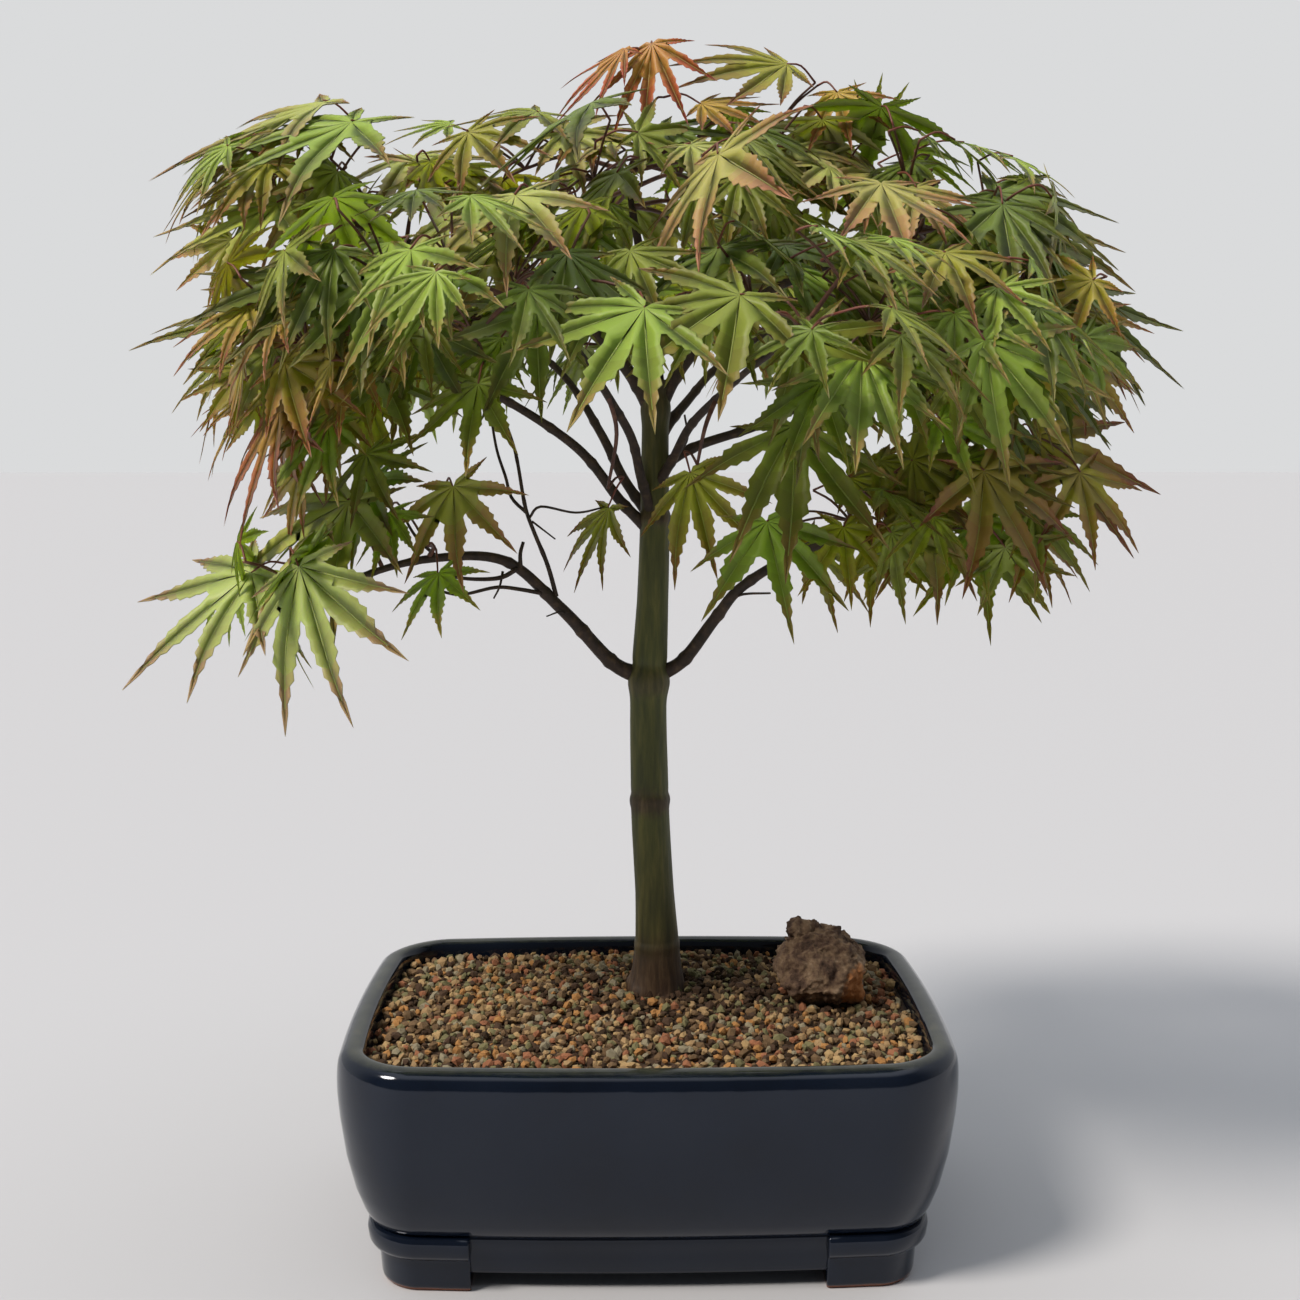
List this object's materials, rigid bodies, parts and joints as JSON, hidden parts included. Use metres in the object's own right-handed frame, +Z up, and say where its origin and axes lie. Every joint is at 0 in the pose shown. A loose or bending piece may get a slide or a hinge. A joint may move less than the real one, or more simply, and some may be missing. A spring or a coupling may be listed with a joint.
{
  "type": "bonsai japanese maple in a glazed rectangular pot",
  "caption": "Small bonsai Japanese maple with an umbrella crown of separate leaf masses on a straight tapering trunk, in a glazed rectangular footed pot with granular soil and a stone.",
  "frame": {"origin": "centre of the pot's footprint, on the surface that its feet stand on", "axes": "+Z up along the trunk, +X along the pot's length, +Y along the pot's width towards the back"},
  "size_m": [0.3652, 0.3021, 0.4056],
  "materials": {
    "glazed_ceramic": "glossy dark navy glaze over stoneware",
    "fired_clay_granules": "matt loose granules",
    "lava_stone": "rough porous",
    "bark": "thin smooth bark, olive green on the trunk and dark brown on the boughs",
    "leaves": "satin leaf",
    "young_leaves": "satin young leaf, red and orange"
  },
  "bodies": {
    "root": {"pot": "glazed_ceramic", "soil": "fired_clay_granules", "lava_stone": "lava_stone", "trunk": "bark", "bough_low_left": "bark", "bough_low_left_upright": "bark", "bough_low_right": "bark", "bough_left_outer": "bark", "bough_left_inner": "bark", "bough_front_left": "bark", "bough_right_outer": "bark", "bough_front_right": "bark", "bough_back_right": "bark", "bough_back": "bark", "bough_top_left": "bark", "bough_top_right": "bark", "leaves_crest": "young_leaves", "leaves_top": "leaves", "leaves_upper_left": "leaves", "leaves_upper_right": "leaves", "leaves_mid_left": "leaves", "leaves_mid_right": "leaves", "leaves_low_left": "leaves", "leaves_low_right": "leaves", "leaves_front_left": "leaves", "leaves_front_right": "leaves", "leaves_left_front": "leaves", "leaves_right_front": "leaves", "leaves_left_back": "leaves", "leaves_right_back": "leaves", "leaves_back_left": "leaves", "leaves_back_right": "leaves"}
  },
  "joints": []
}
